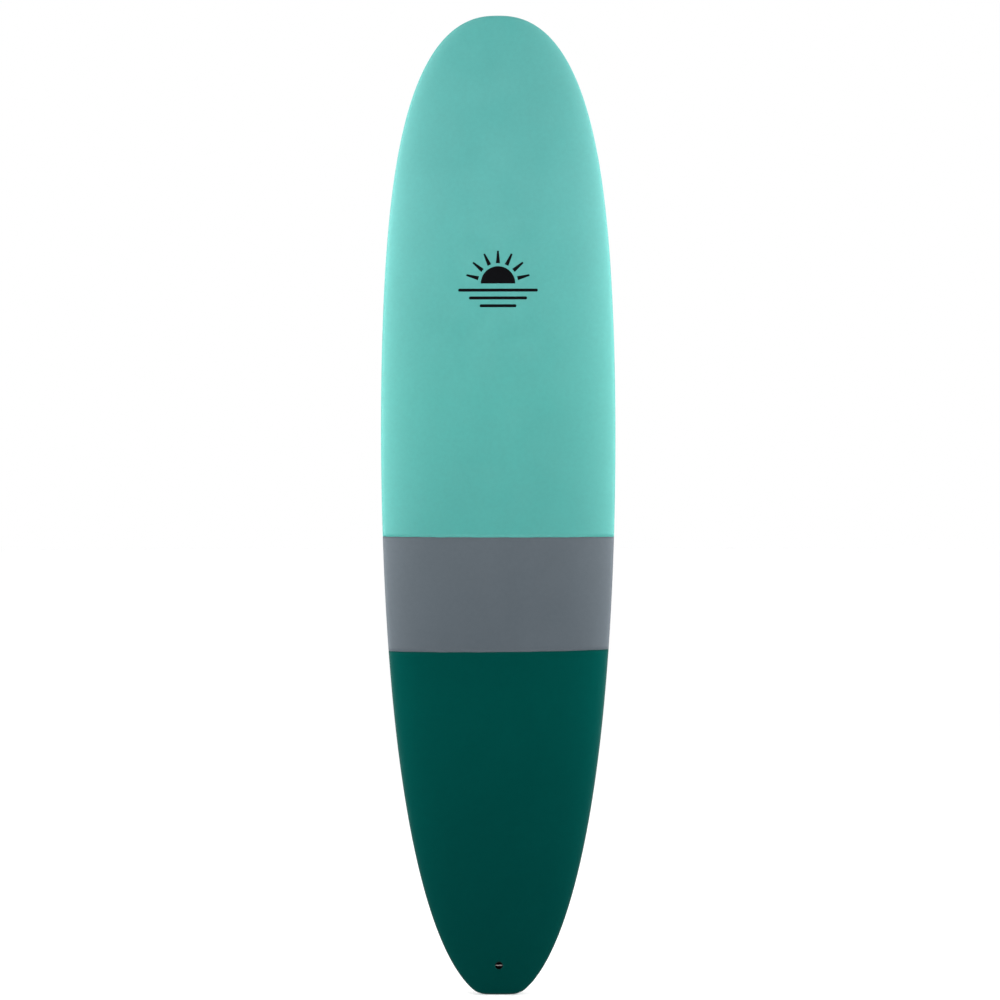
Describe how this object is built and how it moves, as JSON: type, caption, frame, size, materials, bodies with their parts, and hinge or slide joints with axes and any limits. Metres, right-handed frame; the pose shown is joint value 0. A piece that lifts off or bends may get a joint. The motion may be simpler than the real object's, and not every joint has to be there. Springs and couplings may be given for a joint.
{
  "type": "longboard surfboard",
  "caption": "Rounded-nose longboard surfboard with three colour fields across the deck, a leash plug near the tail, and a slotted centre fin box with smaller side fins.",
  "frame": {"origin": "centre of the flat end of the tail", "axes": "+Z along the board to the nose, -Y out of the deck, +Y out of the bottom on the fin side, +X to the right seen from the deck side"},
  "size_m": [0.5898, 0.2617, 2.438],
  "materials": {
    "deck_skin_nose": "satin",
    "deck_skin_band": "satin",
    "deck_skin_tail": "satin",
    "bottom_skin": "satin",
    "foam_core_left": "matte",
    "foam_core_right": "matte",
    "stringer": "matte",
    "leash_plug_cup": "satin",
    "leash_plug_bar": "satin",
    "centre_fin_box": "satin",
    "centre_fin": "satin",
    "centre_fin_pin": "satin",
    "centre_fin_plate": "satin",
    "centre_fin_screw": "satin",
    "side_fin_box_left": "satin",
    "side_fin_box_right": "satin",
    "side_fin_left": "satin",
    "side_fin_right": "satin",
    "side_fin_screw_left_front": "satin",
    "side_fin_screw_left_rear": "satin",
    "side_fin_screw_right_front": "satin",
    "side_fin_screw_right_rear": "satin"
  },
  "bodies": {
    "board": {"deck_skin_nose": "deck_skin_nose", "deck_skin_band": "deck_skin_band", "deck_skin_tail": "deck_skin_tail", "bottom_skin": "bottom_skin", "foam_core_left": "foam_core_left", "foam_core_right": "foam_core_right", "stringer": "stringer", "leash_plug_cup": "leash_plug_cup", "leash_plug_bar": "leash_plug_bar", "centre_fin_box": "centre_fin_box", "side_fin_box_left": "side_fin_box_left", "side_fin_box_right": "side_fin_box_right", "side_fin_screw_left_front": "side_fin_screw_left_front", "side_fin_screw_left_rear": "side_fin_screw_left_rear", "side_fin_screw_right_front": "side_fin_screw_right_front", "side_fin_screw_right_rear": "side_fin_screw_right_rear"},
    "centre_fin_body": {"centre_fin": "centre_fin", "centre_fin_pin": "centre_fin_pin", "centre_fin_plate": "centre_fin_plate"},
    "centre_screw_body": {"centre_fin_screw": "centre_fin_screw"},
    "side_fin_left_body": {"side_fin_left": "side_fin_left"},
    "side_fin_right_body": {"side_fin_right": "side_fin_right"}
  },
  "joints": [
    {"name": "centre_fin_slide", "type": "slide", "parent": "board", "child": "centre_fin_body", "axis": [0, 0.0935, 0.9956], "range_m": [-0.04, 0.037]},
    {"name": "centre_fin_screw_turn", "type": "hinge", "parent": "centre_fin_body", "child": "centre_screw_body", "pos_m": [0, 0.04625, 0.34072], "axis": [0, 0.9956, -0.0935], "continuous": true},
    {"name": "side_fin_left_pull", "type": "slide", "parent": "board", "child": "side_fin_left_body", "axis": [-0.1198, 0.9902, -0.0723], "range_m": [0, 0.03]},
    {"name": "side_fin_right_pull", "type": "slide", "parent": "board", "child": "side_fin_right_body", "axis": [0.1198, 0.9902, -0.0723], "range_m": [0, 0.03]}
  ]
}
